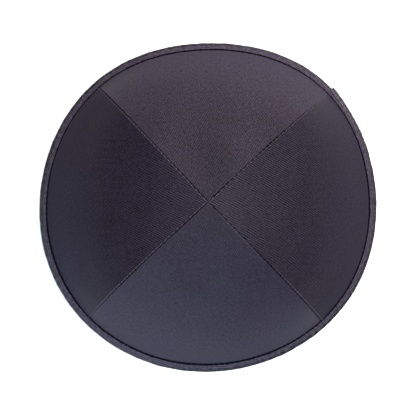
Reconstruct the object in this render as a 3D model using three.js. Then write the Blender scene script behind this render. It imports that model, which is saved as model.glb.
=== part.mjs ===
// A round skullcap sewn from four gores of dark cotton twill, with its rim bound in bias tape.
//
// Millimetres, +Z up. The cap rests on its rim as on a table: the origin is on the table under the
// middle of the rim, -Y is its front and +X its right. Azimuths are counted from +X towards +Y.
//
// The crown is a dome of four gores. Level 0 is its tip and level 1 the cut edge in the rim. Down
// the middle of a gore the slope grows evenly from the tip to the rim, so that line is an arc of a
// circle. At one level the crown's contour is a square near the tip, because each gore is bent one
// way only and the seams stand out as ridges, and it becomes the round outline of the rim.
import * as THREE from "three";
import { mergeVertices } from "three/addons/utils/BufferGeometryUtils.js";

// The rim: its outline's mean radius, and how the sewn outline departs from a circle.
const RIM_RADIUS = 84.7;
const RIM_WAVES = [
  { lobes: 2, height: 1.12, azimuth: 14.5 },
  { lobes: 3, height: 0.2, azimuth: 38.5 },
  { lobes: 4, height: 0.68, azimuth: 46 },
  { lobes: 5, height: 0.28, azimuth: -21 },
];

// The outline bulges most at its front and left, so the tip is this far from the middle of its box.
const TIP_OFFSET = { x: 0.17, y: 0.45 };

// The four seams: where each meets the rim, how far it has swung from there at the tip, and the gore
// that follows it.
const SEAMS = [
  { azimuth: -45.6, swing: 0.3, gore: "panel_right" },
  { azimuth: 42.6, swing: 1.5, gore: "panel_back" },
  { azimuth: 132.7, swing: 0, gore: "panel_left" },
  { azimuth: 223.4, swing: -1, gore: "panel_front" },
];
const SEAM_GAP = 0.3;

// How fast the square contour turns round on the way down to the tape.
const SEAM_FADE = 1.2;

// The crown's slope from the level, at the tip and at the rim, in degrees.
const TIP_SLOPE = 7;
const RIM_SLOPE = 52;
const WALL = 1.3;

// The binding: a tape folded over the cut edge, flattened underneath where the cap rests.
const TAPE = 1;
const TAPE_FACE = 3.5;
const TAPE_BEVEL = 0.35;
const FIT_GAP = 0.2;
const FOOT_SINK = 0.35;

// The tape's ends meet at the back right seam. The upper end is folded under and laps the lower.
const LAP = { azimuth: 43.5, step: 0.9, length: 12 };

// Facets: cells of a gore across and along, and sections of the tape round the rim.
const CELLS_ACROSS = 20;
const CELLS_ALONG = 16;
const RIM_SECTIONS = 96;

const HALF_FOLD = WALL / 2 + FIT_GAP + TAPE;
const HALF_CHANNEL = WALL / 2 + FIT_GAP;
const EDGE_HEIGHT = HALF_FOLD - FOOT_SINK;
const TIP_ANGLE = THREE.MathUtils.degToRad(TIP_SLOPE);
const RIM_ANGLE = THREE.MathUtils.degToRad(RIM_SLOPE);
const EDGE_RADIUS = RIM_RADIUS - HALF_FOLD;
const ARC_RADIUS = EDGE_RADIUS / (Math.sin(RIM_ANGLE) - Math.sin(TIP_ANGLE));
const ARC_LENGTH = ARC_RADIUS * (RIM_ANGLE - TIP_ANGLE);
const TAPE_LEVEL = 1 - TAPE_FACE / ARC_LENGTH;

const CLOTH = new THREE.MeshStandardMaterial({ color: 0x4a4450, roughness: 0.9, metalness: 0 });
const TAPE_CLOTH = new THREE.MeshStandardMaterial({ color: 0x524c59, roughness: 0.88, metalness: 0 });

// Radius of the rim's outline at an azimuth in radians.
function rimRadius(azimuth) {
  const wave = ({ lobes, height, azimuth: peak }) =>
    height * Math.cos(lobes * (azimuth - THREE.MathUtils.degToRad(peak)));
  return RIM_WAVES.reduce((radius, row) => radius + wave(row), RIM_RADIUS);
}

// The azimuths, in radians, between which a gore lies at a level.
function goreSpan(index, level) {
  const seamAt = ({ azimuth, swing }) => azimuth + swing * (1 - level);
  const from = seamAt(SEAMS[index]);
  const to = seamAt(SEAMS[(index + 1) % SEAMS.length]);
  return [from, to > from ? to : to + 360].map(THREE.MathUtils.degToRad);
}

// How far an azimuth is from the middle line of its gore, as -45 to 45 degrees, in radians.
function turnFromMiddle(azimuth, level) {
  const turn = 2 * Math.PI;
  for (let i = 0; i < SEAMS.length; i++) {
    const [from, to] = goreSpan(i, level);
    const past = (((azimuth - from) % turn) + turn) % turn;
    if (past <= to - from) return ((past / (to - from) - 0.5) * Math.PI) / 2;
  }
  return 0;
}

// How square the contour is at a level, from 1 at the tip to 0 where the tape holds it round.
function squareness(level) {
  return level < TAPE_LEVEL ? (1 - (level / TAPE_LEVEL) ** 2) ** SEAM_FADE : 0;
}

// A point `offset` outside the middle of the crown's wall, as its distance from the axis and height.
function crownProfile(azimuth, level, offset) {
  const slope = TIP_ANGLE + (RIM_ANGLE - TIP_ANGLE) * level;
  const reach = (Math.sin(slope) - Math.sin(TIP_ANGLE)) / (Math.sin(RIM_ANGLE) - Math.sin(TIP_ANGLE));
  const square = squareness(level);
  const corner = 1 / (1 - square + square * Math.cos(turnFromMiddle(azimuth, level)));
  return {
    radius: (reach * (rimRadius(azimuth) - HALF_FOLD) + offset * Math.sin(slope)) * corner,
    height: EDGE_HEIGHT + ARC_RADIUS * (Math.cos(slope) - Math.cos(RIM_ANGLE)) + offset * Math.cos(slope),
  };
}

function onAzimuth(azimuth, radius, height) {
  return new THREE.Vector3(radius * Math.cos(azimuth), radius * Math.sin(azimuth), height);
}

// Shared vertices merged, and triangles that have shrunk to a line left out.
function asSolid(geometry) {
  geometry.deleteAttribute("normal");
  geometry.deleteAttribute("uv");
  const merged = mergeVertices(geometry, 1e-4);
  const corners = merged.index.array;
  const kept = [];
  for (let i = 0; i < corners.length; i += 3) {
    const [a, b, c] = corners.subarray(i, i + 3);
    if (a !== b && b !== c && c !== a) kept.push(a, b, c);
  }
  merged.setIndex(kept);
  merged.computeVertexNormals();
  return merged;
}

// The level of a row of a gore's cells. The last row is the strip that the tape covers.
function rowLevel(row) {
  return row < CELLS_ALONG ? (TAPE_LEVEL * row) / (CELLS_ALONG - 1) : 1;
}

// A gore: a slab of cells bent to the crown, its top edge drawn together in the tip.
function goreGeometry(index) {
  const slab = new THREE.BoxGeometry(1, 1, 1, CELLS_ACROSS, CELLS_ALONG, 1);
  const cells = slab.attributes.position;
  for (let i = 0; i < cells.count; i++) {
    const row = Math.round((0.5 - cells.getY(i)) * CELLS_ALONG);
    const level = rowLevel(row);
    const offset = cells.getZ(i) * WALL;
    const [from, to] = goreSpan(index, level);
    let point;
    if (row === 0) {
      const middle = (from + to) / 2;
      const tipHeight = crownProfile(middle, 0, 0).height + offset / Math.cos(TIP_ANGLE);
      point = onAzimuth(middle, SEAM_GAP / Math.SQRT2, tipHeight);
    } else {
      const seamInset = (seam) => Math.asin(SEAM_GAP / 2 / crownProfile(seam, level, offset).radius);
      const start = from + seamInset(from);
      const end = to - seamInset(to);
      const azimuth = THREE.MathUtils.lerp(start, end, cells.getX(i) + 0.5);
      const { radius, height } = crownProfile(azimuth, level, offset);
      point = onAzimuth(azimuth, radius, height);
    }
    cells.setXYZ(i, point.x, point.y, point.z);
  }
  return asSolid(slab);
}

// How much thicker the tape is at an azimuth, where its upper end laps the lower one.
function lapThickness(azimuth) {
  const degrees = THREE.MathUtils.radToDeg(azimuth);
  const along = THREE.MathUtils.degToRad(LAP.azimuth - degrees) * RIM_RADIUS;
  return along < 0 || along > LAP.length ? 0 : LAP.step * (1 - along / LAP.length);
}

// The tape's section at an azimuth, a U folded over the cut edge: up the outer face from the foot,
// down the channel that holds the crown and up its other side, then down the inner face.
function tapeSection(azimuth) {
  const thicker = lapThickness(azimuth);
  const half = HALF_FOLD + thicker;
  const bevelLevel = TAPE_LEVEL + TAPE_BEVEL / ARC_LENGTH;
  const edge = crownProfile(azimuth, 1, 0);
  const at = (level, offset) => {
    const { radius, height } = crownProfile(azimuth, level, offset);
    return [radius, height];
  };
  const onFold = (angle) => [edge.radius + half * Math.cos(angle), edge.height + half * Math.sin(angle)];
  const channelFloor = (side) => [
    edge.radius + FIT_GAP * Math.cos(RIM_ANGLE) + side * HALF_CHANNEL * Math.sin(RIM_ANGLE),
    edge.height - FIT_GAP * Math.sin(RIM_ANGLE) + side * HALF_CHANNEL * Math.cos(RIM_ANGLE),
  ];
  const footAngle = Math.asin(EDGE_HEIGHT / half);
  const outerAngle = Math.PI / 2 - RIM_ANGLE;
  const outerArc = [0, 1 / 4, 1 / 2, 3 / 4].map((share) =>
    onFold(THREE.MathUtils.lerp(-footAngle, outerAngle, share)),
  );
  const section = [
    ...outerArc,
    at(1, half),
    at(bevelLevel, half),
    at(TAPE_LEVEL, half - TAPE_BEVEL),
    at(TAPE_LEVEL, HALF_CHANNEL),
    channelFloor(1),
    channelFloor(-1),
    at(TAPE_LEVEL, -HALF_CHANNEL),
    at(TAPE_LEVEL, TAPE_BEVEL - half),
    at(bevelLevel, -half),
    at(1, -half),
    onFold(footAngle - Math.PI),
  ];
  return section.map(([radius, height]) => onAzimuth(azimuth, radius, Math.max(height, 0)));
}

// The azimuths of the tape's sections: an even round, with a pair set close at the lap's step.
function sectionAzimuths() {
  const lap = THREE.MathUtils.degToRad(LAP.azimuth);
  const stepWidth = 0.25 / RIM_RADIUS;
  const even = (2 * Math.PI) / RIM_SECTIONS;
  const round = Array.from({ length: RIM_SECTIONS }, (_, i) => lap + stepWidth + i * even);
  return [lap, ...round.slice(0, -1)];
}

// The bias tape, lofted round the rim through its sections.
function bindingGeometry() {
  const sections = sectionAzimuths().map(tapeSection);
  const size = sections[0].length;
  const index = [];
  sections.forEach((_, i) => {
    const next = (i + 1) % sections.length;
    for (let j = 0; j < size; j++) {
      const k = (j + 1) % size;
      const [a, b, c, d] = [i * size + j, next * size + j, next * size + k, i * size + k];
      index.push(a, b, c, a, c, d);
    }
  });
  const geometry = new THREE.BufferGeometry().setFromPoints(sections.flat());
  geometry.setIndex(index);
  return asSolid(geometry);
}

function piece(name, geometry, material) {
  const mesh = new THREE.Mesh(geometry, material);
  mesh.name = name;
  return mesh;
}

const crown = new THREE.Group();
SEAMS.forEach(({ gore }, index) => crown.add(piece(gore, goreGeometry(index), CLOTH)));

const skullcap = new THREE.Group();
skullcap.add(crown, piece("rim_binding", bindingGeometry(), TAPE_CLOTH));
skullcap.position.set(TIP_OFFSET.x, TIP_OFFSET.y, 0);

export default skullcap;
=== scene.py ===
"""A skullcap of four cotton twill gores bound in bias tape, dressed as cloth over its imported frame."""

import logging
import math
from collections.abc import Callable
from dataclasses import dataclass, field, replace
from enum import Enum
from typing import Any

import bpy
import numpy as np
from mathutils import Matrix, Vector


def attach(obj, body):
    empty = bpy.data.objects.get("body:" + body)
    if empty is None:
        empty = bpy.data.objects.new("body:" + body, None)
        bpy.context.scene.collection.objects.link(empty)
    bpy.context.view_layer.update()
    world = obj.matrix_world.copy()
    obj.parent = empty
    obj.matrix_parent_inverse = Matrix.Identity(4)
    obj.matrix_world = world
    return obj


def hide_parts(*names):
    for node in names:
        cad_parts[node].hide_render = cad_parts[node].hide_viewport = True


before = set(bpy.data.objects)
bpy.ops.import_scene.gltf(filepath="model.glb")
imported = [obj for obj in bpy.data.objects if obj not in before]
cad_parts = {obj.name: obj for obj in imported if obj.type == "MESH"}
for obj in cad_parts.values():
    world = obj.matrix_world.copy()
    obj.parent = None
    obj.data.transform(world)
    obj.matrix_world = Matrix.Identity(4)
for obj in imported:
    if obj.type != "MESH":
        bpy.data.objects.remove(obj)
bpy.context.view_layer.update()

MM = 0.001
ROOT = "root"
CLOTH_MAP = "cloth"
EDGE_MAP = "edges"
LOG = logging.getLogger("skullcap")

TURN = 2 * math.pi

Array = np.ndarray
Pair = tuple[float, float]
Colour = tuple[float, float, float, float]
Piece = bpy.types.Object


class GoreName(Enum):
    """The gores by their nodes' names, in the order of the seams that begin them."""

    RIGHT = "panel_right"
    BACK = "panel_back"
    LEFT = "panel_left"
    FRONT = "panel_front"


class Skin(Enum):
    """The two faces of a cloth wall, as their side of its middle."""

    OUTER = 1
    INNER = -1


@dataclass(frozen=True)
class Wave:
    """One way in which the rim departs from a circle: its lobes, height in mm and peak in degrees."""

    lobes: int
    height: float
    azimuth: float


@dataclass(frozen=True)
class Seam:
    """A seam between two gores, as it shows on the outside.

    Attributes:
        azimuth: Where it meets the rim, in degrees.
        swing: How far it has swung from there at the tip, in degrees.
        depth: Depth of its groove in mm, at the tip and at the rim.
        proud: Which edge stands proud over the pressed allowances, at the tip and at the rim: 1 is the
            gore after the seam and -1 the gore before it.
        thread_to: Level down to which its thread shows.
        thread: How thick its thread shows in mm, at the tip and at the rim; thicker than sewing thread,
            it is also a painted shadow along the groove.
        depth_levels, proud_levels, thread_levels: Levels between which those go from tip to rim.
        crest: How far off the proud edge's crest lies in mm, and how much of the depth is added.
    """

    azimuth: float
    swing: float
    depth: Pair
    proud: Pair
    thread_to: float = 0.94
    thread: Pair = (0.6, 0.6)
    depth_levels: Pair = (0.45, 0.8)
    proud_levels: Pair = (0.25, 0.5)
    thread_levels: Pair = (0.12, 0.3)
    crest: Pair = (0.25, 0.6)

    def azimuth_at(self, level: Array) -> Array:
        """Its azimuth in radians at levels from 0, the tip, to 1, the rim."""
        return np.radians(self.azimuth + self.swing * (1 - level))

    def depth_at(self, level: Array) -> Array:
        """Depth of the groove at levels from 0, the tip, to 1, the rim."""
        return np.interp(level, self.depth_levels, self.depth)

    def pride_at(self, level: Array, side: int) -> Array:
        """How proud the edge on a side is at a level, from 0 to 1."""
        return np.clip(side * np.interp(level, self.proud_levels, self.proud), 0.0, 1.0)

    def thread_at(self, level: float) -> float:
        """How thick its thread shows at a level, in mm."""
        return float(np.interp(level, self.thread_levels, self.thread))

    def crest_at(self, level: Array) -> Array:
        """How far the crest of the proud edge lies from the seam at levels, in mm."""
        return self.crest[0] + self.crest[1] * self.depth_at(level)


def bell(away: Array, width: float) -> Array:
    """A soft hump, 1 at its middle and fading over a width on both sides of it."""
    return np.exp(-((away / width) ** 2))


@dataclass(frozen=True)
class Ripple:
    """Ripples in mm: how high, how far apart, and how they stray to and fro on the way."""

    height: float
    pitch: float
    stray: float
    stray_run: float

    def at(self, run: Array, start: float = 0.0, shift: Array | float = 0.0) -> Array:
        """The ripples' height at runs, with where the straying starts and a shift in ripples."""
        stray = self.stray * np.sin(run / self.stray_run + start)
        return self.height * np.sin(TURN * (run / self.pitch + shift + stray))


@dataclass(frozen=True)
class SoftNoise:
    """A smooth bumpy field in space, the same on every run: a sum of waves in seeded directions.

    Attributes:
        wavelength: Longest wave in mm; the shortest is half of it.
        seed: Seed of the directions and phases.
        waves: How many waves are summed.
    """

    wavelength: float
    seed: int
    waves: int = 14

    def at(self, points: Array) -> Array:
        """The field at points in mm.

        Args:
            points: Places, with x, y and z on the last axis.

        Returns:
            About -1 to 1 for each place.
        """
        rng = np.random.default_rng(self.seed)
        way = rng.normal(size=(self.waves, 3))
        way /= np.linalg.norm(way, axis=1, keepdims=True)
        pitch = self.wavelength * rng.uniform(0.5, 1.0, self.waves)
        phase = rng.uniform(0.0, TURN, self.waves)
        swing = np.tensordot(points, (way / pitch[:, None]).T, axes=1) * TURN + phase
        return np.sin(swing).sum(axis=-1) / math.sqrt(self.waves)


@dataclass
class CrownForm:
    """The crown's shape, in mm: a dome of four gores, square in plan near its tip and round at its rim.

    Levels run from 0 at the tip to 1 at the gores' cut edge, which the tape covers.
    """

    rim_mean: float = 84.7
    waves: tuple[Wave, ...] = (
        Wave(2, 1.12, 14.5),
        Wave(3, 0.2, 38.5),
        Wave(4, 0.68, 46.0),
        Wave(5, 0.28, -21.0),
    )
    # The seams' threads are thicker than sewing thread: they are also a painted shadow along the grooves.
    seams: tuple[Seam, ...] = (
        Seam(-45.6, 0.3, (0.85, 0.8), (-0.4, 0.75), thread=(1.05, 0.6)),
        Seam(42.6, 1.5, (0.6, 0.08), (-1.0, -0.45), thread_to=0.58, thread=(0.85, 0.85)),
        Seam(132.7, 0.0, (0.8, 0.75), (1.0, 0.65)),
        Seam(223.4, -1.0, (0.85, 0.25), (-1.0, -0.7), thread_to=0.86),
    )
    tip_offset: Pair = (0.17, 0.45)
    tip_slope: float = math.radians(7.0)
    rim_slope: float = math.radians(52.0)
    seam_fade: float = 1.2
    seam_tolerance: float = 1e-6
    wall: float = 1.3
    tape: float = 1.0
    tape_face: float = 3.5
    fit_gap: float = 0.2
    foot_sink: float = 0.35
    half_fold: float = field(init=False)
    edge_height: float = field(init=False)
    arc_radius: float = field(init=False)
    arc_length: float = field(init=False)
    tape_level: float = field(init=False)
    rise: float = field(init=False)
    rim_length: float = field(init=False)

    def __post_init__(self) -> None:
        """Works out the sizes that follow from the others."""
        self.half_fold = self.wall / 2 + self.fit_gap + self.tape
        self.edge_height = self.half_fold - self.foot_sink
        self.rise = math.sin(self.rim_slope) - math.sin(self.tip_slope)
        self.arc_radius = (self.rim_mean - self.half_fold) / self.rise
        self.arc_length = self.arc_radius * (self.rim_slope - self.tip_slope)
        self.tape_level = 1 - self.tape_face / self.arc_length
        self.rim_length = TURN * self.rim_mean

    def rim_radius(self, azimuth: Array) -> Array:
        """Radius of the rim's outline at azimuths in radians."""
        swings = [w.height * np.cos(w.lobes * (azimuth - math.radians(w.azimuth))) for w in self.waves]
        return self.rim_mean + sum(swings)

    def span(self, index: int, level: Array) -> tuple[Array, Array]:
        """The azimuths in radians between which a gore lies at levels."""
        start = self.seams[index].azimuth_at(level)
        end = self.seams[(index + 1) % len(self.seams)].azimuth_at(level)
        return start, np.where(end > start, end, end + TURN)

    def turn_from_middle(self, azimuth: Array, level: Array) -> Array:
        """How far azimuths are from the middle line of their gore, as -45 to 45 degrees, in radians."""
        turn = np.zeros_like(azimuth)
        for index in range(len(self.seams)):
            start, end = self.span(index, level)
            past = (azimuth - start + self.seam_tolerance) % TURN
            share = (past - self.seam_tolerance) / (end - start)
            turn = np.where(share <= 1, (share - 0.5) * math.pi / 2, turn)
        return turn

    def slope(self, level: Array) -> Array:
        """Slope of the middle line at levels, in radians."""
        return self.tip_slope + (self.rim_slope - self.tip_slope) * level

    def profile(self, azimuth: Array, level: Array, offset: Array) -> tuple[Array, Array]:
        """Points at an offset outside the middle of the crown's wall.

        Args:
            azimuth: Azimuths in radians.
            level: Levels, from 0 to 1.
            offset: Distances from the middle of the wall.

        Returns:
            The points' distances from the axis and their heights.
        """
        slope = self.slope(level)
        reach = (np.sin(slope) - math.sin(self.tip_slope)) / self.rise
        square = (1 - np.minimum(level / self.tape_level, 1.0) ** 2) ** self.seam_fade
        corner = 1 / (1 - square + square * np.cos(self.turn_from_middle(azimuth, level)))
        radius = (reach * (self.rim_radius(azimuth) - self.half_fold) + offset * np.sin(slope)) * corner
        drop = self.arc_radius * (np.cos(slope) - math.cos(self.rim_slope))
        return radius, self.edge_height + drop + offset * np.cos(slope)

    def place(self, azimuth: Array, radius: Array, height: Array) -> Array:
        """Points in mm in the part's frame, from azimuths, distances from the axis and heights."""
        x = self.tip_offset[0] + radius * np.cos(azimuth)
        y = self.tip_offset[1] + radius * np.sin(azimuth)
        return np.stack(np.broadcast_arrays(x, y, height), axis=-1)

    def point(self, azimuth: Array, level: Array, offset: Array) -> Array:
        """Points in mm in the part's frame, on the crown at azimuths, levels and offsets."""
        return self.place(azimuth, *self.profile(azimuth, level, offset))


def make_piece(name: str, points: Array, quads: Array, maps: dict[str, Array]) -> Piece:
    """Makes a smooth mesh piece that rides on the cap.

    Args:
        name: The piece's name.
        points: Its vertices in mm, with x, y and z on the last axis.
        quads: Its faces, as four vertex numbers each.
        maps: Pairs of values for each vertex, by their map's name.

    Returns:
        The new object.
    """
    mesh = bpy.data.meshes.new(name)
    mesh.from_pydata(points.reshape(-1, 3) * MM, [], quads)
    mesh.shade_smooth()
    for label, pairs in maps.items():
        layer = mesh.uv_layers.new(name=label)
        corners = pairs.reshape(-1, 2)[quads.ravel()]
        layer.data.foreach_set("uv", corners.astype(np.float32).ravel())
    mesh.validate()
    piece = bpy.data.objects.new(name, mesh)
    bpy.context.scene.collection.objects.link(piece)
    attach(piece, ROOT)
    return piece


def grid_quads(rows: int, columns: int, closed_rows: bool = False, closed_columns: bool = False) -> Array:
    """Faces of a grid of vertices that is numbered row by row.

    Args:
        rows: Rows of vertices.
        columns: Vertices in a row.
        closed_rows: Whether the last row joins the first.
        closed_columns: Whether each row's end joins its start.

    Returns:
        The faces, as four vertex numbers each.
    """
    numbers = np.arange(rows * columns).reshape(rows, columns)
    if closed_rows:
        numbers = np.vstack((numbers, numbers[:1]))
    if closed_columns:
        numbers = np.hstack((numbers, numbers[:, :1]))
    corners = (numbers[:-1, :-1], numbers[1:, :-1], numbers[1:, 1:], numbers[:-1, 1:])
    return np.stack([corner.ravel() for corner in corners], axis=1)


@dataclass
class Gore:
    """One gore of the crown: a cloth wall whose edges roll down into the seams beside it."""

    form: CrownForm
    name: GoreName
    index: int
    rows: int = 186
    rim_rows: int = 16
    rim_strip: float = 2.0
    columns: int = 121
    samples: int = 241
    seam_crowding: float = 2.2
    crowding_length: float = 20.0
    half_gap: float = 0.02
    gap_share: float = 0.125
    roll: float = 0.42
    plain_roll: float = 0.75
    proud_roll: float = 0.35
    tip_share: float = 0.22
    tip_calm: float = 6.0
    ridge: float = 0.34
    ridge_width: float = 0.34
    allowance: float = 6.0
    allowance_lift: float = 0.12
    allowance_edge: float = 0.7
    stitch_pitch: float = 2.07
    stitch_middle: float = 0.72
    stitch_bite: float = 0.35
    pucker: Ripple = Ripple(0.03, 6.3, 0.8, 11.0)
    pucker_reach: float = 5.0
    slack: float = 0.3
    slack_wave: float = 46.0
    slack_seed: int = 5
    slack_reach: float = 9.0
    rim_roll: float = 0.75
    rim_dip: float = 0.95
    rim_pucker: Ripple = Ripple(0.03, 7.1, 1.7 / TURN, 17.0)
    rim_pucker_reach: float = 4.0
    inner_share: float = 0.45
    tip_level: float = 0.0004

    def _seams(self) -> tuple[Seam, Seam]:
        """The seams before and after the gore."""
        seams = self.form.seams
        return seams[self.index], seams[(self.index + 1) % len(seams)]

    def _columns_of(self, level: float) -> tuple[Array, Array, float]:
        """Spreads the columns of one row, close together beside the seams.

        Args:
            level: The row's level.

        Returns:
            The columns' azimuths, their distances from the first seam, and the row's length.
        """
        start, end = self.form.span(self.index, level)
        azimuth = np.linspace(start, end, self.samples)
        radius, _ = self.form.profile(azimuth, np.full_like(azimuth, level), self.form.wall / 2)
        flat = np.stack((radius * np.cos(azimuth), radius * np.sin(azimuth)), axis=1)
        run = np.concatenate(([0.0], np.cumsum(np.linalg.norm(np.diff(flat, axis=0), axis=1))))
        length = float(run[-1])
        crowd = self.seam_crowding * length / (length + self.crowding_length)
        share = np.tanh(crowd * np.linspace(-1, 1, self.columns)) / math.tanh(crowd)
        inset = min(self.half_gap, self.gap_share * length)
        along = inset + (share + 1) / 2 * (length - 2 * inset)
        return np.interp(along, run, azimuth), along, length

    def _seam_relief(self, seam: Seam, side: int, away: Array, length: Array, level: Array) -> Array:
        """How far the cloth beside a seam stands off its even surface.

        Args:
            seam: The seam.
            side: 1 for the gore after it, -1 for the gore before it.
            away: Distances from the seam.
            length: The rows' lengths from seam to seam.
            level: Levels.

        Returns:
            Offsets, up being positive.
        """
        run = level * self.form.arc_length
        bite = 1 + self.stitch_bite * np.cos(TURN * (run - self.stitch_middle) / self.stitch_pitch)
        pride = seam.pride_at(level, side)
        full_roll = self.roll * (self.plain_roll + self.proud_roll * pride)
        roll = np.minimum(full_roll, self.tip_share * length)
        depth = seam.depth_at(level) * bite * (roll / full_roll)
        inward = 1 - np.minimum(away / roll, 1.0)
        rolled = -depth * (1 - np.sqrt(1 - inward**2))
        lifted = self.allowance_lift * pride / (1 + np.exp((away - self.allowance) / self.allowance_edge))
        ridge = self.ridge * pride * bell(away - seam.crest_at(level), self.ridge_width)
        ripple = self.pucker.at(run, seam.azimuth) * np.exp(-away / self.pucker_reach)
        hold = 1 - bell(run, self.tip_calm)
        return rolled + (lifted + ridge + ripple) * hold * np.minimum(away / roll, 1.0)

    def _relief(self, points: Array, azimuth: Array, away: Array, length: Array, level: Array) -> Array:
        """How far the whole gore stands off its even surface: seams, slack and the pull of the tape."""
        before, after = self._seams()
        sewn = self._seam_relief(before, 1, away, length, level)
        sewn += self._seam_relief(after, -1, length - away, length, level)
        hold = np.clip((self.form.tape_level - level) * self.form.arc_length, 0.0, None)
        slack = self.slack * SoftNoise(self.slack_wave, self.slack_seed).at(points)
        slack *= 1 - np.exp(-hold / self.slack_reach)
        inward = 1 - np.minimum(hold / self.rim_roll, 1.0)
        dip = -self.rim_dip * (1 - np.sqrt(1 - inward**2))
        pucker = self.rim_pucker.at(azimuth * self.form.rim_mean)
        return sewn + slack + dip + pucker * np.exp(-hold / self.rim_pucker_reach)

    def _edges(self, away: Array, length: Array, level: Array) -> Array:
        """Each vertex's distance in mm from the crest of the nearer edge, and how proud that is."""
        before, after = self._seams()
        nearer = away < length / 2
        off = np.where(nearer, away - before.crest_at(level), length - away - after.crest_at(level))
        pride = np.where(nearer, before.pride_at(level, 1), after.pride_at(level, -1))
        return np.stack((off, pride), axis=-1)

    def _skin(self, skin: Skin) -> tuple[Array, dict[str, Array]]:
        """Vertices of one face of the gore, and their maps."""
        strip = self.form.tape_level - self.rim_strip / self.form.arc_length
        open_rows = np.linspace(self.tip_level, strip, self.rows)
        held_rows = np.linspace(strip, self.form.tape_level, self.rim_rows)[1:]
        levels = np.concatenate((open_rows, held_rows, [1.0]))
        rows = zip(*(self._columns_of(level) for level in levels))
        azimuth, away, length = (np.array(row) for row in rows)
        length = length[:, None]
        level = np.repeat(levels[:, None], self.columns, axis=1)
        side = skin.value * self.form.wall / 2
        even = self.form.point(azimuth, level, side)
        share = 1.0 if skin is Skin.OUTER else self.inner_share
        relief = self._relief(even, azimuth, away, length, level)
        points = self.form.point(azimuth, level, side + share * relief)
        cloth = np.stack((away - length / 2, level * self.form.arc_length), axis=-1)
        return points, {CLOTH_MAP: cloth, EDGE_MAP: self._edges(away, length, level)}

    def build(self) -> Piece:
        """Builds the gore as a closed cloth wall in place of its node."""
        outer, maps = self._skin(Skin.OUTER)
        inner, _ = self._skin(Skin.INNER)
        rows = len(outer)
        count = rows * self.columns
        face = grid_quads(rows, self.columns)
        back = face[:, ::-1] + count
        numbers = np.arange(count).reshape(rows, self.columns)
        border = np.concatenate((numbers[0], numbers[1:, -1], numbers[-1, -2::-1], numbers[-2:0:-1, 0]))
        following = np.roll(border, -1)
        edge = np.stack((border, following, following + count, border + count), axis=1)
        piece = make_piece(
            self.name.value + "_cloth",
            np.concatenate((outer, inner)),
            np.concatenate((face, back, edge)),
            {label: np.concatenate((pairs, pairs)) for label, pairs in maps.items()},
        )
        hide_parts(self.name.value)
        return piece


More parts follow.
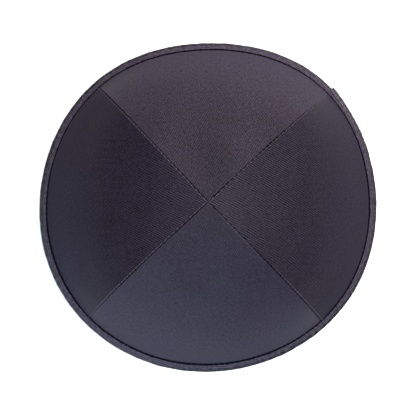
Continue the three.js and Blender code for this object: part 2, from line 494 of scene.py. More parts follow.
@dataclass
class Binding:
    """The bias tape round the rim, folded over the gores' cut edge, its upper end lapped at a seam."""

    form: CrownForm
    sections: int = 720
    lap_azimuth: float = 43.5
    lap_step: float = 0.9
    lap_length: float = 12.0
    lap_edge: float = 0.15
    lap_settle: float = 0.25
    settle_reach: float = 6.0
    lap_crowding: float = 0.9
    fold_ridge: float = 0.4
    fold_ridge_length: float = 24.0
    fold_run: float = 4.9
    fold_width: float = 0.45
    raw_end_width: float = 0.3
    raw_end_least: float = 0.2
    edge_roll: float = 0.45
    edge_lift: float = 0.34
    fold_points: int = 9
    face_points: int = 8
    roll_angles: tuple[float, ...] = (65.0, 42.0, 20.0)
    tongue_run: float = 0.25
    tongue_gap: float = 0.15
    foot_shares: tuple[float, ...] = (0.25, 0.5, 0.75)
    foot_relief: float = 0.4
    drag: Ripple = Ripple(0.05, 4.6, 0.9, 13.0)
    drag_slant: float = 5.0
    drag_swell: float = 0.4
    drag_swell_run: float = 23.0
    lumps: float = 0.06
    lumps_wave: float = 13.0
    lumps_seed: int = 11
    least_step: float = 1e-6

    def _azimuths(self) -> Array:
        """The sections' azimuths in radians, close together at the lap's end."""
        even = np.arange(self.sections) / self.sections
        lap = math.radians(self.lap_azimuth)
        crowd = even - self.lap_crowding * np.sin(TURN * even) / TURN
        return lap + crowd * TURN

    def _before_lap(self, azimuth: Array) -> Array:
        """Distances in mm from the lap's end along the tape it lies on, clockwise, up to a full turn."""
        return ((math.radians(self.lap_azimuth) - azimuth) % TURN) * self.form.rim_mean

    def _lap(self, azimuth: Array) -> Array:
        """How much thicker the tape is where its upper end laps the lower one."""
        before = self._before_lap(azimuth)
        taper = np.clip(1 - before / self.lap_length, 0.0, 1.0)
        beyond = self.form.rim_length - before
        edge = np.clip(1 - beyond / self.lap_edge, 0.0, 1.0)
        settled = self.lap_settle * np.exp(-beyond / self.settle_reach) * (1 - edge)
        return self.lap_step * np.maximum(taper, edge) - settled

    def _section(self, azimuth: Array) -> list[tuple[Array, Array]]:
        """The tape's outline at each azimuth, from the foot up the outside and down the inside.

        Args:
            azimuth: The sections' azimuths.

        Returns:
            The outline's points, each as distances from the axis and heights.
        """
        form = self.form
        half = form.half_fold + self._lap(azimuth)
        one = np.ones_like(azimuth)
        edge_radius, edge_height = form.profile(azimuth, one, 0 * one)
        channel = form.wall / 2 + form.fit_gap
        foot = np.arcsin(form.edge_height / half)
        top = math.pi / 2 - form.rim_slope

        def on_fold(angle: Array) -> tuple[Array, Array]:
            """A point on the round fold, at an angle up from level."""
            return edge_radius + half * np.cos(angle), edge_height + half * np.sin(angle)

        def on_face(run: float, offset: Array) -> tuple[Array, Array]:
            """A point on a face of the tape, a run in mm below its stitched edge."""
            return form.profile(azimuth, one * (form.tape_level + run / form.arc_length), offset)

        shares = np.linspace(0, 1, self.fold_points + 1)[:-1]
        outline = [on_fold(-foot + (top + foot) * share) for share in shares]
        low = form.wall / 2 + self.edge_lift
        runs = np.linspace(form.tape_face, self.edge_roll, self.face_points)
        down = np.clip((runs - self.edge_roll) / (form.tape_face - self.edge_roll), 0, 1)
        swell = np.sin(down * math.pi / 2)
        for skin in Skin:
            side = skin.value
            face = [on_face(run, side * (low + (half - low) * share)) for run, share in zip(runs, swell)]
            for angle in np.radians(self.roll_angles):
                run = self.edge_roll * (1 - math.cos(angle))
                face.append(on_face(run, side * one * (low - self.edge_lift * (1 - math.sin(angle)))))
            face.append(on_face(self.tongue_run, side * one * (channel - self.tongue_gap)))
            face.append(on_face(form.tape_face, side * one * channel))
            outline += face if skin is Skin.OUTER else face[::-1]
        outline += [on_fold(top - math.pi), on_fold(foot - math.pi)]
        inner_foot, outer_foot = outline[-1], outline[0]
        for share in self.foot_shares:
            outline.append(tuple(a + (b - a) * share for a, b in zip(inner_foot, outer_foot)))
        return outline

    def build(self) -> Piece:
        """Builds the tape in place of its node."""
        form = self.form
        azimuth = self._azimuths()
        outline = self._section(azimuth)
        radius = np.stack([r for r, _ in outline], axis=1)
        height = np.stack([h for _, h in outline], axis=1)
        step_r, step_h = (np.roll(a, -1, axis=1) - np.roll(a, 1, axis=1) for a in (radius, height))
        size = np.maximum(np.hypot(step_r, step_h), self.least_step)
        steps = (np.diff(a, axis=1, prepend=a[:, :1]) for a in (radius, height))
        run = np.cumsum(np.hypot(*steps), axis=1)
        rim = (azimuth * form.rim_mean)[:, None]
        before = self._before_lap(azimuth)[:, None]
        relief = self._relief(rim, run, before)
        points_at = form.place(azimuth[:, None], radius, height)
        relief += self.lumps * SoftNoise(self.lumps_wave, self.lumps_seed).at(points_at)
        shown = np.zeros(radius.shape[1])
        shown[: self.fold_points + self.face_points + 1] = 1.0
        shown[0] = self.foot_relief
        radius = radius + relief * shown * step_h / size
        height = np.maximum(height - relief * shown * step_r / size, 0.0)
        points = form.place(azimuth[:, None], radius, height)
        cloth = np.stack(np.broadcast_arrays(rim, run), axis=-1)
        quads = grid_quads(*radius.shape, closed_rows=True, closed_columns=True)
        maps = {CLOTH_MAP: cloth, EDGE_MAP: self._highlight_edges(run, before)}
        piece = make_piece("rim_binding_tape", points, quads, maps)
        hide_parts("rim_binding")
        return piece

    def _highlight_edges(self, run: Array, before: Array) -> Array:
        """Each vertex's distance from the fold past the lap, and how strongly the painted highlight shows
        there, 0 to 1.
        """
        fold = np.clip(1 - before / self.fold_ridge_length, 0.0, 1.0) ** 0.5
        from_end = np.minimum(before, self.form.rim_length - before)
        raw_end = bell(from_end, self.raw_end_width) * (run < self.fold_run)
        away = np.where(raw_end > self.raw_end_least, 0.0, run - self.fold_run)
        return np.stack(np.broadcast_arrays(away, np.maximum(fold, raw_end)), axis=-1)

    def _relief(self, rim: Array, run: Array, before: Array) -> Array:
        """The tape's drag lines and the fold that shows through past its lap.

        Args:
            rim: Places along the rim in mm.
            run: Places across the tape in mm, up from the foot.
            before: Distances before the lap's end.

        Returns:
            Offsets, out being positive.
        """
        swell = 1 - self.drag_swell + self.drag_swell * np.sin(rim / self.drag_swell_run + 1.0)
        fade = np.clip(1 - before / self.fold_ridge_length, 0.0, 1.0)
        fold = self.fold_ridge * fade * bell(run - self.fold_run, self.fold_width)
        return self.drag.at(rim, shift=run / self.drag_slant) * swell + fold


@dataclass(frozen=True)
class Stitch:
    """One stitch: its ends' azimuths and levels, how high its middle lies and its thickness in mm."""

    azimuth: Pair
    level: Pair
    offset: float
    thickness: float


@dataclass
class StitchRow:
    """A row of bare stitches laid on the crown, each a thread of six sides."""

    form: CrownForm
    name: str
    dip: float = 0.3
    taper: float = 0.35
    rings: int = 6
    sides: int = 6

    def _tube(self, stitch: Stitch) -> Array:
        """Vertices of one stitch: a thread that dives into the cloth at both its ends."""
        share = np.linspace(0.0, 1.0, self.rings)
        azimuth = np.interp(share, (0, 1), stitch.azimuth)
        level = np.interp(share, (0, 1), stitch.level)
        offset = stitch.offset - self.dip * (2 * share - 1) ** 4
        middle = self.form.point(azimuth, level, offset)
        way = np.gradient(middle, axis=0)
        way /= np.linalg.norm(way, axis=1, keepdims=True)
        beside = np.cross(way, (0.0, 0.0, 1.0))
        beside /= np.linalg.norm(beside, axis=1, keepdims=True)
        above = np.cross(beside, way)
        angle = np.arange(self.sides) * TURN / self.sides
        thick = stitch.thickness / 2 * (1 - self.taper * (2 * share - 1) ** 6)
        ring = np.cos(angle)[:, None] * beside[:, None] + np.sin(angle)[:, None] * above[:, None]
        return middle[:, None] + thick[:, None, None] * ring

    def build(self, stitches: list[Stitch]) -> Piece:
        """Builds the row as one piece.

        Args:
            stitches: The stitches in their order along the row.

        Returns:
            The new object.
        """
        tube = grid_quads(self.rings, self.sides, closed_columns=True)
        last = (self.rings - 1) * self.sides
        start_cap = np.array([[3, 2, 1, 0], [0, 5, 4, 3]])
        end_cap = np.array([[0, 1, 2, 3], [3, 4, 5, 0]]) + last
        each = np.concatenate((tube, start_cap, end_cap))
        size = self.rings * self.sides
        points = np.concatenate([self._tube(stitch) for stitch in stitches])
        quads = np.concatenate([each + number * size for number in range(len(stitches))])
        share = np.repeat(np.linspace(0.0, 2.0, self.rings), self.sides)
        angle = np.tile(np.linspace(0.0, 1.0, self.sides), self.rings)
        cloth = np.tile(np.stack((share, angle), axis=1), (len(stitches), 1))
        return make_piece(self.name, points, quads, {CLOTH_MAP: cloth})


@dataclass
class Sewing:
    """The thread that shows: stitches down the seams' grooves and in the ditch beside the tape, thicker
    than sewing thread so that they are also a painted shadow in the grooves and the ditch.
    """

    form: CrownForm
    seam_pitch: float = 2.07
    seam_stitch: float = 1.6
    seam_thread_sink: float = 0.28
    ditch_pitch: float = 2.9
    ditch_stitch: float = 2.88
    ditch_away: float = 0.5
    ditch_sink: float = 0.34
    ditch_dip: float = 0.06
    ditch_taper: float = 0.2
    ditch_uneven: float = 0.06
    ditch_drift: float = 0.04
    ditch_seed: int = 3
    ditch_thread_and_shade: float = 1.85
    ditch_slack: float = 0.13
    ditch_slack_at: float = 50.0
    ditch_thin: float = 0.38
    ditch_thin_at: float = 156.0
    ditch_thin_width: float = 20.0
    ditch_gaps: tuple[Pair, ...] = ((37.6, 38.5), (45.3, 46.5), (52.2, 52.9))

    def build_seams(self) -> Piece:
        """Builds the stitches down the four seams."""
        form = self.form
        count = int(form.arc_length * form.tape_level / self.seam_pitch)
        stitches = []
        for seam in form.seams:
            for number in range(1, int(count * seam.thread_to)):
                run = number * self.seam_pitch
                ends = (run / form.arc_length, (run + self.seam_stitch) / form.arc_length)
                azimuths = tuple(float(seam.azimuth_at(end)) for end in ends)
                sink = min(self.seam_thread_sink, float(seam.depth_at(ends[0])))
                # Stitch thickness from the seam, which also paints the groove's shadow.
                stitches.append(Stitch(azimuths, ends, form.wall / 2 - sink, seam.thread_at(ends[0])))
        return StitchRow(form, "seam_stitches").build(stitches)

    def build_ditch(self) -> Piece:
        """Builds the stitches in the ditch beside the tape, all round the rim."""
        form = self.form
        rng = np.random.default_rng(self.ditch_seed)
        count = round(form.rim_length / self.ditch_pitch)
        level = form.tape_level - self.ditch_away / form.arc_length
        stitches = []
        for number in range(count):
            start = TURN * number / count
            uneven = rng.uniform(1 - self.ditch_uneven, 1 + self.ditch_uneven)
            length = self.ditch_stitch * uneven / form.rim_mean
            drift = rng.normal(0.0, self.ditch_drift, 2) / form.arc_length
            ends = (level + drift[0], level + drift[1])
            azimuths = self._clear_of_gaps(start, start + length)
            slack = 1 + math.cos(start - math.radians(self.ditch_slack_at))
            away = math.remainder(math.degrees(start) - self.ditch_thin_at, 360.0)
            thin = self.ditch_thin * float(bell(away, self.ditch_thin_width))
            # Far thicker than sewing thread, the ditch stitches are also a painted shadow of the ditch,
            # thinner at some places round the rim and thicker at others.
            thickness = self.ditch_thread_and_shade * (1 - self.ditch_slack * slack) * (1 - thin)
            stitches.append(Stitch(azimuths, ends, form.wall / 2 - self.ditch_sink, thickness))
        row = StitchRow(form, "ditch_stitches", dip=self.ditch_dip, taper=self.ditch_taper)
        return row.build(stitches)

    def _clear_of_gaps(self, start: float, end: float) -> Pair:
        """A ditch stitch's ends in radians, shortened where the sewing is broken near the lap."""
        for gap in self.ditch_gaps:
            gap_start, gap_end = math.radians(gap[0]), math.radians(gap[1])
            if start < gap_start < end:
                end = gap_start
            elif gap_start <= start < gap_end:
                start = gap_end
        return start, end


def joined(operation: str, swapped: bool = False) -> Callable[["Wire", Any], "Wire"]:
    """A method that joins a wire and another value in a Math node, in this order or swapped."""

    def join(wire: "Wire", other: Any) -> "Wire":
        """The Math node's result."""
        return wire.math(operation, *((other, wire) if swapped else (wire, other)))

    return join


@dataclass(eq=False)
class Wire:
    """A value in a shader, at a node's output: arithmetic on wires adds Math nodes."""

    bench: "Bench"
    socket: bpy.types.NodeSocket

    def beside(self, key: int | str) -> "Wire":
        """Another output of the same node, by its number or name."""
        return Wire(self.bench, self.socket.node.outputs[key])

    def math(self, operation: str, *values: Any) -> "Wire":
        """A Math node's result on these values."""
        return self.bench.add("Math", dict(enumerate(values)), operation=operation)

    __add__ = joined("ADD")
    __sub__ = joined("SUBTRACT")
    __rsub__ = joined("SUBTRACT", swapped=True)
    __mul__ = joined("MULTIPLY")
    __truediv__ = joined("DIVIDE")
    at_least = joined("MAXIMUM")
    at_most = joined("MINIMUM")
    over = joined("GREATER_THAN")

    def sin(self) -> "Wire":
        """The sine of this angle."""
        return self.math("SINE", self)

    def cos(self) -> "Wire":
        """The cosine of this angle."""
        return self.math("COSINE", self)

    def wave(self) -> "Wire":
        """A wave of this value with a period of 1, from 0 to 1."""
        return (self * TURN).cos() * 0.5 + 0.5

    def skewed_wave(self, skew: float) -> "Wire":
        """A wave of this value with a period of 1, from 0 to 1, that rises fast and falls slowly."""
        angle = self * TURN
        return (angle + angle.sin() * skew).sin() * 0.5 + 0.5

    def clamped(self, low: float = 0.0) -> "Wire":
        """This value, kept from a low one to 1."""
        return self.at_least(low).at_most(1.0)


class Bench:
    """Where one material's nodes are put together."""

    def __init__(self, name: str) -> None:
        """Starts a material with nothing but its output."""
        self.material = bpy.data.materials.new(name)
        self.material.use_nodes = True
        self.tree = self.material.node_tree
        self.tree.nodes.clear()

    def add(self, kind: str, inputs: dict[int | str, Any], **settings: Any) -> Wire:
        """Adds a node.

        Args:
            kind: The shader node's type.
            inputs: Values or wires of its sockets, by number or name.
            settings: Its settings, set first.

        Returns:
            The wire at its first output.
        """
        node = self.tree.nodes.new("ShaderNode" + kind)
        for key, value in settings.items():
            setattr(node, key, value)
        for key, value in inputs.items():
            if isinstance(value, Wire):
                self.tree.links.new(value.socket, node.inputs[key])
            else:
                node.inputs[key].default_value = value
        return Wire(self, node.outputs[0])

    def blend(self, share: Wire, low: Any, high: Any) -> Wire:
        """A colour between two, by a share from 0 to 1, from the Mix node's sockets for colours."""
        inputs = {0: share, 6: low, 7: high}
        return self.add("Mix", inputs, data_type="RGBA").beside(2)

    def place(self, label: str) -> Wire:
        """The place on a map of the mesh."""
        return self.add("UVMap", {}, uv_map=label)

    def parts(self, place: Wire) -> tuple[Wire, Wire]:
        """A place's X and Y."""
        x = self.add("SeparateXYZ", {"Vector": place})
        return x, x.beside("Y")

    def noise(self, place: Wire, scale: float | Pair, detail: float = 1.0) -> Wire:
        """Smooth noise about 0.5, at a scale in cells a mm or one each for X and Y."""
        if isinstance(scale, tuple):
            inputs = {0: place, 1: (*scale, 1.0)}
            place = self.add("VectorMath", inputs, operation="MULTIPLY")
            scale = 1.0
        inputs = {"Vector": place, "Scale": scale, "Detail": detail}
        return self.add("TexNoise", inputs, noise_dimensions="2D")

    def bump(self, height: Wire, distance: float, strength: float = 1.0) -> Wire:
        """The normal of a relief whose height is counted in a distance in mm."""
        inputs = {"Strength": strength, "Distance": distance * MM, "Height": height}
        return self.add("Bump", inputs)

    def finish(self, shader: Wire) -> bpy.types.Material:
        """Wires a shader to the output and returns the material."""
        output = self.tree.nodes.new("ShaderNodeOutputMaterial")
        self.tree.links.new(shader.socket, output.inputs["Surface"])
        return self.material


def put_on(material: bpy.types.Material, pieces: list[Piece]) -> None:
    """Puts a material on pieces."""
    for piece in pieces:
        piece.data.materials.append(material)


@dataclass(frozen=True)
class Weave:
    """What all the cap's twill has in common.

    Cells are counted a mm, pitches are in mm, and most of the rest are shares of the cloth's tone,
    relief or gloss.
    """

    wale_pitch: float = 1.05
    wale_skew: float = 0.5
    wale_stray: float = 1.1
    stray_cells: float = 0.07
    yarn_pitch: float = 0.5
    yarn_breaks: float = 0.8
    slub_cells: Pair = (0.5, 0.07)
    slub_tone: float = 0.3
    slub_height: float = 0.3
    weft_cells: Pair = (0.06, 0.6)
    weft_tone: float = 0.25
    cloud_cells: float = 0.035
    cloud_tone: float = 0.15
    grain_cells: Pair = (0.63, 1.82)
    grain_contrast: float = 0.7
    grain_tone: float = 0.8
    grain_height: float = 0.35
    grain_roughness: float = 0.1
    grain_rim_light: float = 1.2
    grain_matt: float = 0.5
    tone_drop: float = 0.25
    patch_cells: float = 0.16
    patch_contrast: float = 3.2
    patch_drop: float = 0.8
    patch_sheen_slope: float = 7.0
    patch_least: float = 0.05
    hollow_gloss: float = 0.03
    crease_pitch: float = 266.0
    crease_peak: float = 192.0
    crease_sway: float = 0.6
    crease_matt: float = 0.55
    fleck_cells: float = 0.55
    fleck_contrast: float = 2.2
    fleck_share: float = 0.2
    highlight_cells: float = 0.3
    highlight_between: float = 0.25
    lint: Colour = (0.16, 0.14, 0.17, 1.0)
    lint_cells: float = 0.3
    lint_size: float = 0.035
    lint_clouds: float = 0.11
    lint_over: float = 0.6
    ior: float = 1.45
    tint: Colour = (0.84, 0.74, 1.0, 1.0)


WEAVE = Weave()


@dataclass(frozen=True)
class TwillFinish:
    """Dark cotton twill, as colour, wales, yarns and slubs on the flat cloth in mm.

    Attributes:
        name: The material's name.
        slot: The record's material slot; not used.
        hollow, wale: Colours between the wales and on them.
        lean: How far the wales lean off the cloth's length, in degrees.
        gloss, roughness: How much the fibres shine, and how softly.
        shade: How far the hollows between the wales sink into painted shade, in their colour and gloss.
        fade, matt: Between which lengths from the tip the wales are lost, and the cloth turns matt.
        matt_share, painted_rim_light: How matt it turns there, and the paler colour painted there, a
            painted rim light that stands in for the light the table throws back onto the steep rim.
        speckle: How much more the grains shine than the hollows between them.
        sheen_slope: Painted sheen: how much more each mm across the cloth shines than the one before it,
            so each gore shines more towards the seam after it.
        relief, ribbing: Height of the cloth's relief, and the share of it that is wales.
        crest_highlight, highlight_share: Colour of the painted highlight along a raised edge's crest, and
            how much of it shows.
        highlight_width, highlight_pitch: How wide it is beside its crest, and how far apart its stitches
            are.
        highlight_along, highlight_wander: The axis of the cloth it runs along, and how far its dots
            stray.
        crease_shades: Painted shade along creases: darker lines, each at a length, with half its width
            and how much darker it is.
        fleck, lint_share: Colour of flecks, if there are any, and how much specks of lint show.
    """

    name: str
    slot: str
    hollow: Colour
    wale: Colour
    lean: float
    gloss: float
    shade: float
    fade: Pair = (36.0, 74.0)
    matt: Pair = (50.0, 92.0)
    matt_share: float = 0.55
    painted_rim_light: Colour = (0.0203, 0.0168, 0.0288, 1.0)
    speckle: float = 0.35
    sheen_slope: float = 0.0022
    relief: float = 0.12
    ribbing: float = 0.85
    roughness: float = 0.5
    crest_highlight: Colour = (0.075, 0.062, 0.09, 1.0)
    highlight_width: float = 0.36
    highlight_pitch: float = 2.07
    highlight_share: float = 0.85
    highlight_along: str = "Y"
    highlight_wander: float = 0.0
    crease_shades: tuple[tuple[float, float, float], ...] = ()
    fleck: Colour | None = None
    lint_share: float = 0.12

    def dress(self, pieces: list[Piece]) -> None:
        """Makes the material and puts it on pieces."""
        bench = Bench(self.name)
        place = bench.place(CLOTH_MAP)
        across, along = bench.parts(place)
        slub = bench.noise(place, WEAVE.slub_cells, 3.0)
        weft = bench.noise(place, WEAVE.weft_cells, 3.0)
        cloud = bench.noise(place, WEAVE.cloud_cells, 3.0)
        few, many = WEAVE.grain_cells
        grains = bench.noise(place, (few, many)) + bench.noise(place, (many, few)) - 1
        grain = grains * WEAVE.grain_contrast + 0.5
        worn_and_sheen = bench.noise(place, WEAVE.patch_cells) * WEAVE.patch_contrast - WEAVE.patch_drop
        # Random patches where the wales show, plus painted sheen: they show more towards one side of each
        # gore.
        worn_and_sheen = (worn_and_sheen + across * (self.sheen_slope * WEAVE.patch_sheen_slope)).clamped(WEAVE.patch_least)
        ribs = self._wales(bench, place) * (1 - self._rise(along, self.fade))
        matt = self._rise(along, self.matt)
        # Painted shade along the tape's creases, which also makes the cloth more matt there.
        crease = self._crease_shade(across, along)
        tone = ribs * worn_and_sheen * self.shade + slub * WEAVE.slub_tone + weft * WEAVE.weft_tone
        tone = tone + cloud * WEAVE.cloud_tone + grain * WEAVE.grain_tone - WEAVE.tone_drop - crease
        colour = bench.blend(tone, self.hollow, self.wale)
        # Painted rim light: a paler colour towards the rim, where the table's bounce light falls on the
        # steep cloth.
        colour = bench.blend(matt * ((grain - 0.5) * WEAVE.grain_rim_light + 1), colour, self.painted_rim_light)
        if self.fleck:
            fleck = (bench.noise(place, WEAVE.fleck_cells, 2.0) - 0.5) * WEAVE.fleck_contrast
            colour = bench.blend((fleck + WEAVE.fleck_share).clamped(), colour, self.fleck)
        # Painted highlight along the crests of raised edges.
        colour = bench.blend(self._highlight_mask(bench, place), colour, self.crest_highlight)
        colour = bench.blend(self._lint(bench, place), colour, WEAVE.lint)
        height = ribs * self.ribbing + grain * WEAVE.grain_height + slub * WEAVE.slub_height
        bump = bench.bump(height, self.relief)
        rough = (grain - 0.5) * WEAVE.grain_roughness + self.roughness
        full = self.gloss / (1 - 0.5 * self.shade * (1 - WEAVE.hollow_gloss))
        raised = self._fibre(bench, colour, rough, full, bump)
        sunk = self._fibre(bench, colour, rough, full * WEAVE.hollow_gloss, bump)
        speckle = (0.5 - grain) * (1 - matt * WEAVE.grain_matt) * self.speckle
        depth = (0.5 - ribs * worn_and_sheen) * self.shade + speckle
        # Painted sheen makes each gore glossier towards one seam; painted crease shade makes the creases
        # more matt.
        depth = depth + matt * self.matt_share - across * self.sheen_slope + crease * WEAVE.crease_matt
        shader = bench.add("MixShader", {0: depth, 1: raised, 2: sunk})
        put_on(bench.finish(shader), pieces)

    def _wales(self, bench: Bench, place: Wire) -> Wire:
        """The wales about 0, broken up by the yarns that cross them."""
        across, along = bench.parts(place)
        lean = math.radians(self.lean)
        stray = (bench.noise(place, WEAVE.stray_cells, 2.0) - 0.5) * WEAVE.wale_stray
        over = across * math.cos(lean) + along * math.sin(lean) + stray
        down = along * math.cos(lean) - across * math.sin(lean)
        wale = (over / WEAVE.wale_pitch).skewed_wave(WEAVE.wale_skew)
        yarn = (down / WEAVE.yarn_pitch + over / WEAVE.wale_pitch * 0.5).wave()
        return (wale - 0.5) * ((yarn - 0.5) * WEAVE.yarn_breaks + 1)

    def _crease_shade(self, across: Wire, along: Wire) -> Wire | float:
        """How dark the painted crease shade is at a place, swinging darker and lighter round the cloth,
        or 0 if there are none.
        """
        turn = TURN / WEAVE.crease_pitch
        sway = ((across - WEAVE.crease_peak) * turn).cos() * WEAVE.crease_sway + 1.0
        crease = 0.0
        for at, half_width, darker in self.crease_shades:
            off = (along - at) / half_width
            crease = (1 - off * off).at_least(0.0) * sway * darker + crease
        return crease

    @staticmethod
    def _rise(along: Wire, span: Pair) -> Wire:
        """How far a place has come from the start of a span to its end, from 0 to 1."""
        start, end = span
        return ((along - start) / (end - start)).clamped()

    def _fibre(self, bench: Bench, colour: Wire, rough: Wire, gloss: float, bump: Wire) -> Wire:
        """Cotton fibres of a colour, roughness and gloss."""
        inputs = {
            "Base Color": colour,
            "Roughness": rough,
            "IOR": WEAVE.ior,
            "Specular IOR Level": gloss,
            "Specular Tint": WEAVE.tint,
            "Normal": bump,
        }
        return bench.add("BsdfPrincipled", inputs)

    def _highlight_mask(self, bench: Bench, place: Wire) -> Wire:
        """A mask of the painted highlight on raised edges' crests, the gores' proud seam edges and the
        tape's fold past its lap, broken up stitch by stitch.
        """
        away, pride = bench.parts(bench.place(EDGE_MAP))
        run = bench.parts(place)["XY".index(self.highlight_along)]
        run = run + bench.noise(place, WEAVE.highlight_cells) * self.highlight_wander
        off = away / self.highlight_width
        dots = (run / self.highlight_pitch).wave()
        between = WEAVE.highlight_between
        held = dots * dots * (1 - between) + between
        return ((1 - (off * off).at_most(1.0)) * pride * held).at_least(0.0) * self.highlight_share

    def _lint(self, bench: Bench, place: Wire) -> Wire:
        """A mask of a few pale specks of lint."""
        inputs = {"Vector": place, "Scale": WEAVE.lint_cells, "Randomness": 1.0}
        cells = bench.add("TexVoronoi", inputs, voronoi_dimensions="2D")
        chosen = bench.noise(place, WEAVE.lint_clouds, 0.0).over(WEAVE.lint_over)
        return (WEAVE.lint_size - cells).over(0.0) * chosen * self.lint_share


@dataclass(frozen=True)
class ThreadFinish:
    """Near black sewing thread with its twist."""

    name: str
    slot: str
    dark: Colour = (0.002, 0.0016, 0.0028, 1.0)
    light: Colour = (0.005, 0.004, 0.0065, 1.0)
    gloss: float = 0.0
    roughness: float = 0.95
    twist_pitch: float = 0.35
    twist_relief: float = 0.05
    twist_strength: float = 0.8
    twist_polish: float = 0.1

    def dress(self, pieces: list[Piece]) -> None:
        """Makes the material and puts it on pieces."""
        bench = Bench(self.name)
        along, around = bench.parts(bench.place(CLOTH_MAP))
        ply = (along / self.twist_pitch + around).wave()
        inputs = {
            "Base Color": bench.blend(ply, self.dark, self.light),
            "Roughness": self.roughness - ply * self.twist_polish,
            "Specular IOR Level": self.gloss,
            "Normal": bench.bump(ply, self.twist_relief, self.twist_strength),
        }
        shader = bench.add("BsdfPrincipled", inputs)
        put_on(bench.finish(shader), pieces)


@dataclass(frozen=True)
class Softbox:
    """A soft studio light aimed at the cap: its place and size in metres, power and colour."""

    name: str
    place: tuple[float, float, float]
    size: Pair
    power: float
    colour: tuple[float, float, float]

    def hang(self) -> None:
        """Puts the light in the scene."""
        lamp = bpy.data.lights.new(self.name, "AREA")
        lamp.shape = "RECTANGLE"
        lamp.size, lamp.size_y = self.size
        lamp.energy = self.power
        lamp.color = self.colour
        light = bpy.data.objects.new(self.name, lamp)
        light.location = self.place
        light.rotation_euler = (-Vector(self.place)).to_track_quat("-Z", "Y").to_euler()
        bpy.context.scene.collection.objects.link(light)


@dataclass
class Studio:
    """The white table, the lights over it and the camera, in metres."""

    elevation: float = math.radians(87.5)
    distance: float = 1.2
    picture_width: int = 416
    picture_scale: float = 0.5045
    sensor_width: float = 36.0
    aim: tuple[float, float, float] = (0.0, -0.0005, 0.0015)
    boxes: tuple[Softbox, ...] = (
        Softbox("overhead_box", (0.42, 0.025, 1.335), (0.5, 0.5), 25.6, (0.93, 1.0, 0.89)),
        Softbox("back_box", (0.367, 1.008, 0.9), (0.9, 0.5), 20.0, (1.0, 0.96, 0.79)),
        Softbox("low_back_box", (0.649, 1.22, 0.219), (1.0, 0.3), 12.0, (1.0, 0.7, 0.88)),
        Softbox("front_box", (-0.367, -1.008, 0.9), (0.9, 0.5), 17.4, (0.81, 0.99, 1.0)),
        Softbox("low_front_box", (-0.6, -1.245, 0.219), (1.0, 0.3), 12.5, (0.62, 0.77, 1.0)),
    )
    surround: float = 0.005
    table_half: float = 3.0
    table_white: Colour = (0.92, 0.92, 0.92, 1.0)
    table_roughness: float = 0.9

    def set_camera(self) -> None:
        """Puts the camera at the photograph's angle above the cap."""
        scene = bpy.context.scene
        lens = bpy.data.cameras.new("camera")
        lens.sensor_width = self.sensor_width
        view_width = self.picture_width * self.picture_scale * MM
        lens.lens = lens.sensor_width * self.distance / view_width
        camera = bpy.data.objects.new("camera", lens)
        away = Vector((0.0, -math.cos(self.elevation), math.sin(self.elevation)))
        camera.location = Vector(self.aim) + self.distance * away
        camera.rotation_euler = (-away).to_track_quat("-Z", "Y").to_euler()
        scene.collection.objects.link(camera)
        scene.camera = camera
        scene.view_settings.view_transform = "Standard"

    def lay_table(self) -> None:
        """Lays the white table top."""
        half = self.table_half
        mesh = bpy.data.meshes.new("table_top")
        corners = [(-half, -half, 0.0), (half, -half, 0.0), (half, half, 0.0), (-half, half, 0.0)]
        mesh.from_pydata(corners, [], [(0, 1, 2, 3)])
        table = bpy.data.objects.new("table_top", mesh)
        bpy.context.scene.collection.objects.link(table)
        bench = Bench("white_table")
        inputs = {"Base Color": self.table_white, "Roughness": self.table_roughness}
        mesh.materials.append(bench.finish(bench.add("BsdfPrincipled", inputs)))

    def light(self) -> None:
        """Hangs the lights and sets the even light of the room."""
        for box in self.boxes:
            box.hang()
        world = bpy.data.worlds.new("room")
        world.use_nodes = True
        sky = world.node_tree.nodes["Background"]
        sky.inputs["Color"].default_value = (1.0, 1.0, 1.0, 1.0)
        sky.inputs["Strength"].default_value = self.surround
        bpy.context.scene.world = world


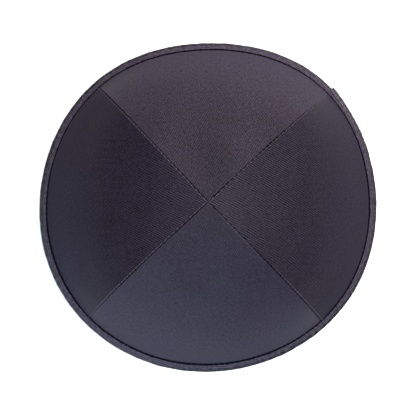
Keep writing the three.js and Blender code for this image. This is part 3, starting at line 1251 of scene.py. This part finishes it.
def gore_finishes() -> dict[GoreName, TwillFinish]:
    """The gores' finishes: lit and shaded copies of one twill, whose gloss, wale shade and rim colour
    differ from gore to gore to paint how the light falls on each, so the wales show strongly on the right
    and left gores and hardly on the other two.
    """
    dark, light = (0.0022, 0.0015, 0.0034, 1.0), (0.017, 0.0124, 0.0245, 1.0)
    lit_across_wales = TwillFinish("ribbed_twill", "crown_twill", dark, light, lean=26.0, gloss=0.17, shade=1.0)
    # The front and back gores' copy, with less painted wale shade and more gloss: their wales run along
    # the light.
    even = replace(
        lit_across_wales, gloss=0.2, fade=(50.0, 90.0), matt=(45.0, 88.0), matt_share=0.5, sheen_slope=0.0, roughness=0.56
    )
    # Painted rim light for the back and front gores: paler colours where the table's bounce light falls
    # on the steep rim.
    pale, paler = (0.0252, 0.021, 0.0347, 1.0), (0.0285, 0.0236, 0.0388, 1.0)
    looks = {
        GoreName.RIGHT: replace(lit_across_wales, fade=(42.0, 90.0)),
        GoreName.BACK: replace(even, gloss=0.215, shade=0.6, speckle=1.2, ribbing=0.3, painted_rim_light=paler),
        GoreName.LEFT: replace(lit_across_wales, fade=(24.0, 72.0)),
        GoreName.FRONT: replace(even, shade=0.35, speckle=0.7, ribbing=0.2, painted_rim_light=pale),
    }
    return {gore: replace(look, name=gore.value + "_twill") for gore, look in looks.items()}


def tape_finish() -> TwillFinish:
    """The tape's finish: paler, flecked, with wales along it, two soft lines of painted crease shade and
    a painted highlight past its lap.
    """
    past_the_tape = (900.0, 901.0)
    dark, light = (0.006, 0.0047, 0.01, 1.0), (0.036, 0.0285, 0.057, 1.0)
    return TwillFinish(
        "binding_twill", "binding_twill", dark, light, lean=84.0, gloss=0.2, shade=0.9, sheen_slope=0.0,
        fade=past_the_tape, matt=past_the_tape, relief=0.16, ribbing=0.8,
        # Painted highlight along the fold past the lap and at the lap's end.
        crest_highlight=(0.13, 0.105, 0.125, 1.0), highlight_width=0.5, highlight_pitch=1.9, highlight_share=0.6, highlight_along="X",
        # Painted crease shade: two darker lines along the tape's fold.
        highlight_wander=4.0, crease_shades=((2.3, 1.1, 0.5), (3.7, 0.9, 0.45)), fleck=(0.054, 0.044, 0.055, 1.0),
        lint_share=0.6,
    )


def main() -> None:
    """Builds the cap piece by piece, then its finishes and the studio."""
    logging.basicConfig(level=logging.INFO, format="%(name)s: %(message)s")
    form = CrownForm()
    gores = []
    for index, name in enumerate(GoreName):
        gores.append(Gore(form, name, index).build())
        LOG.info("gore %s", name.value)
    tape = Binding(form).build()
    LOG.info("binding %s", tape.name)
    sewing = Sewing(form)
    thread = [sewing.build_seams(), sewing.build_ditch()]
    LOG.info("thread %s", ", ".join(piece.name for piece in thread))
    for gore, finish in zip(gores, gore_finishes().values()):
        finish.dress([gore])
    tape_finish().dress([tape])
    ThreadFinish("black_thread", "binding_twill").dress(thread)
    LOG.info("finishes")
    studio = Studio()
    studio.set_camera()
    studio.lay_table()
    studio.light()
    LOG.info("studio")


if __name__ == "__main__":
    main()
